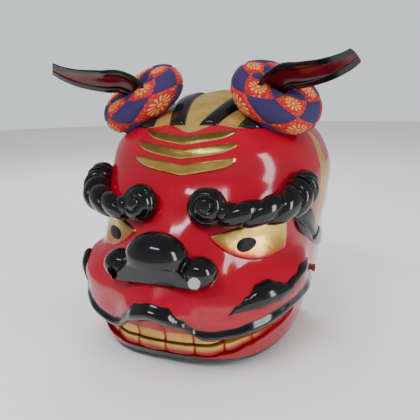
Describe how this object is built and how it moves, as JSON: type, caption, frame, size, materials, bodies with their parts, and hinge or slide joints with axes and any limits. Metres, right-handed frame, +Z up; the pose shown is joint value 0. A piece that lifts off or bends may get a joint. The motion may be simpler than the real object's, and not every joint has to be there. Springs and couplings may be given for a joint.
{
  "type": "lion dance head",
  "caption": "Lacquered hollow lion dance head with rope brows, gold eyes and teeth, cloth-ringed ears and a lower jaw that swings open on hinge pins.",
  "frame": {"origin": "centre of the footprint on the floor under the jaw", "axes": "+Z up, the face looks along -Y, +X is the right of a viewer who faces it"},
  "size_m": [0.3726, 0.2642, 0.3334],
  "materials": {
    "red_lacquer": "carved wood under high-gloss red lacquer",
    "black_lacquer": "carved wood under high-gloss black lacquer",
    "gold_leaf": "carved wood under gold leaf and clear lacquer",
    "brocade_cloth": "patchwork of red brocade with gold flowers and plain navy cloth, stuffed",
    "stained_wood": "red-brown stained wood"
  },
  "bodies": {
    "head": {"head_shell": "red_lacquer", "nose": "black_lacquer", "forehead_band_1": "gold_leaf", "forehead_band_2": "gold_leaf", "forehead_band_3": "gold_leaf", "upper_teeth": "gold_leaf", "eye_left": "gold_leaf", "brow_left": "black_lacquer", "crown_rib_1_left": "black_lacquer", "crown_rib_2_left": "black_lacquer", "side_lock_left": "black_lacquer", "ear_pad_left": "brocade_cloth", "ear_left": "black_lacquer", "hinge_pin_left": "stained_wood", "eye_right": "gold_leaf", "brow_right": "black_lacquer", "crown_rib_1_right": "black_lacquer", "crown_rib_2_right": "black_lacquer", "side_lock_right": "black_lacquer", "ear_pad_right": "brocade_cloth", "ear_right": "black_lacquer", "hinge_pin_right": "stained_wood"},
    "lower_jaw": {"jaw": "red_lacquer", "lower_teeth": "gold_leaf"}
  },
  "joints": [
    {"name": "jaw_hinge", "type": "hinge", "parent": "head", "child": "lower_jaw", "pos_m": [0, 0.0641, 0.07], "axis": [1, 0, 0], "range_deg": [0, 30]}
  ]
}
